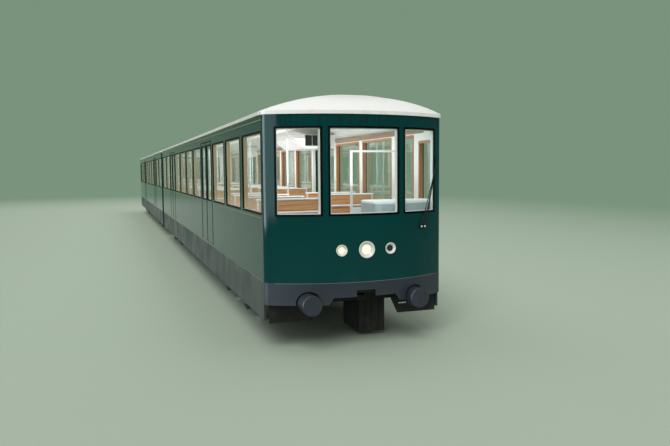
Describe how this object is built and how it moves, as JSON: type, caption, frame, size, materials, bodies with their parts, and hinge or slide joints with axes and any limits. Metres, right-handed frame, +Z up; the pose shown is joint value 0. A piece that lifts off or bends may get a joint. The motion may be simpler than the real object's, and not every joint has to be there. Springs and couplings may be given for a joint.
{
  "type": "funicular car",
  "caption": "Articulated funicular railway car: two glazed passenger sections with bowed noses and domed roofs, hinged together and carried on four-wheeled bogies.",
  "frame": {"origin": "centre of the car's outline, on the floor under the wheel flanges", "axes": "+X across the car, +Y uphill along it, +Z up; the downhill nose is at -Y"},
  "size_m": [2.55, 32.62, 3.3298],
  "materials": {
    "green_body": "glossy dark green paint",
    "white_roof": "satin white moulding",
    "grey_skirt": "satin blue-grey paint",
    "black_metal": "satin black paint",
    "black_rubber": "matt rubber",
    "window_glass": "clear, faintly green",
    "lining_wood": "varnished orange-brown wood",
    "seat_wood": "varnished slatted wood",
    "white_metal": "gloss white tube",
    "console_grey": "pale blue-grey moulding",
    "floor_covering": "grey studded covering",
    "lamp_glass": "clear lens",
    "lamp_enamel": "thick pale enamel",
    "chassis": "dark grey paint with dust",
    "bogie_metal": "dark, dusty and oily",
    "wheel_steel": "bright treads, rusty discs"
  },
  "bodies": {
    "lower_section": {"lower_bolsters": "chassis", "lower_buffers": "grey_skirt", "lower_console": "console_grey", "lower_door_leaves": "green_body", "lower_end_wall": "green_body", "lower_floor": "floor_covering", "lower_glazing": "window_glass", "lower_guard_plates": "black_metal", "lower_headstocks": "chassis", "lower_inner_screens": "white_metal", "lower_lamp_rings": "lamp_enamel", "lower_lamps": "lamp_glass", "lower_left_wall": "green_body", "lower_nose": "green_body", "lower_right_wall": "green_body", "lower_roof": "white_roof", "lower_seats": "seat_wood", "lower_skirts": "grey_skirt", "lower_tube_frames": "white_metal", "lower_underframe": "chassis", "lower_window_linings": "lining_wood", "lower_window_seals": "black_rubber", "lower_wiper": "black_metal"},
    "link": {"link": "chassis"},
    "upper_section": {"upper_bolsters": "chassis", "upper_buffers": "grey_skirt", "upper_console": "console_grey", "upper_door_leaves": "green_body", "upper_end_wall": "green_body", "upper_floor": "floor_covering", "upper_glazing": "window_glass", "upper_guard_plates": "black_metal", "upper_headstocks": "chassis", "upper_inner_screens": "white_metal", "upper_lamp_rings": "lamp_enamel", "upper_lamps": "lamp_glass", "upper_left_wall": "green_body", "upper_nose": "green_body", "upper_right_wall": "green_body", "upper_roof": "white_roof", "upper_seats": "seat_wood", "upper_skirts": "grey_skirt", "upper_tube_frames": "white_metal", "upper_underframe": "chassis", "upper_window_linings": "lining_wood", "upper_window_seals": "black_rubber", "upper_wiper": "black_metal"},
    "bogie_1": {"bogie_frame_1": "bogie_metal"},
    "wheelset_1": {"axle_1": "wheel_steel"},
    "wheelset_2": {"axle_2": "wheel_steel"},
    "bogie_2": {"bogie_frame_2": "bogie_metal"},
    "wheelset_3": {"axle_3": "wheel_steel"},
    "wheelset_4": {"axle_4": "wheel_steel"},
    "bogie_3": {"bogie_frame_3": "bogie_metal"},
    "wheelset_5": {"axle_5": "wheel_steel"},
    "wheelset_6": {"axle_6": "wheel_steel"},
    "bogie_4": {"bogie_frame_4": "bogie_metal"},
    "wheelset_7": {"axle_7": "wheel_steel"},
    "wheelset_8": {"axle_8": "wheel_steel"}
  },
  "joints": [
    {"name": "section_rock", "type": "hinge", "parent": "lower_section", "child": "link", "pos_m": [0, -0.15, 0.68], "axis": [1, 0, 0], "range_deg": [-4, 4]},
    {"name": "section_turn", "type": "hinge", "parent": "link", "child": "upper_section", "pos_m": [0, 0.15, 0.68], "axis": [0, 0, 1], "range_deg": [-4, 4]},
    {"name": "bogie_1_swivel", "type": "hinge", "parent": "lower_section", "child": "bogie_1", "pos_m": [0, -13, 0.42], "axis": [0, 0, 1], "range_deg": [-3, 3]},
    {"name": "axle_1_roll", "type": "hinge", "parent": "bogie_1", "child": "wheelset_1", "pos_m": [0, -13.85, 0.276], "axis": [1, 0, 0], "continuous": true},
    {"name": "axle_2_roll", "type": "hinge", "parent": "bogie_1", "child": "wheelset_2", "pos_m": [0, -12.15, 0.276], "axis": [1, 0, 0], "continuous": true},
    {"name": "bogie_2_swivel", "type": "hinge", "parent": "lower_section", "child": "bogie_2", "pos_m": [0, -3.4, 0.42], "axis": [0, 0, 1], "range_deg": [-3, 3]},
    {"name": "axle_3_roll", "type": "hinge", "parent": "bogie_2", "child": "wheelset_3", "pos_m": [0, -4.25, 0.276], "axis": [1, 0, 0], "continuous": true},
    {"name": "axle_4_roll", "type": "hinge", "parent": "bogie_2", "child": "wheelset_4", "pos_m": [0, -2.55, 0.276], "axis": [1, 0, 0], "continuous": true},
    {"name": "bogie_3_swivel", "type": "hinge", "parent": "upper_section", "child": "bogie_3", "pos_m": [0, 3.4, 0.42], "axis": [0, 0, 1], "range_deg": [-3, 3]},
    {"name": "axle_5_roll", "type": "hinge", "parent": "bogie_3", "child": "wheelset_5", "pos_m": [0, 2.55, 0.276], "axis": [1, 0, 0], "continuous": true},
    {"name": "axle_6_roll", "type": "hinge", "parent": "bogie_3", "child": "wheelset_6", "pos_m": [0, 4.25, 0.276], "axis": [1, 0, 0], "continuous": true},
    {"name": "bogie_4_swivel", "type": "hinge", "parent": "upper_section", "child": "bogie_4", "pos_m": [0, 13, 0.42], "axis": [0, 0, 1], "range_deg": [-3, 3]},
    {"name": "axle_7_roll", "type": "hinge", "parent": "bogie_4", "child": "wheelset_7", "pos_m": [0, 12.15, 0.276], "axis": [1, 0, 0], "continuous": true},
    {"name": "axle_8_roll", "type": "hinge", "parent": "bogie_4", "child": "wheelset_8", "pos_m": [0, 13.85, 0.276], "axis": [1, 0, 0], "continuous": true}
  ]
}
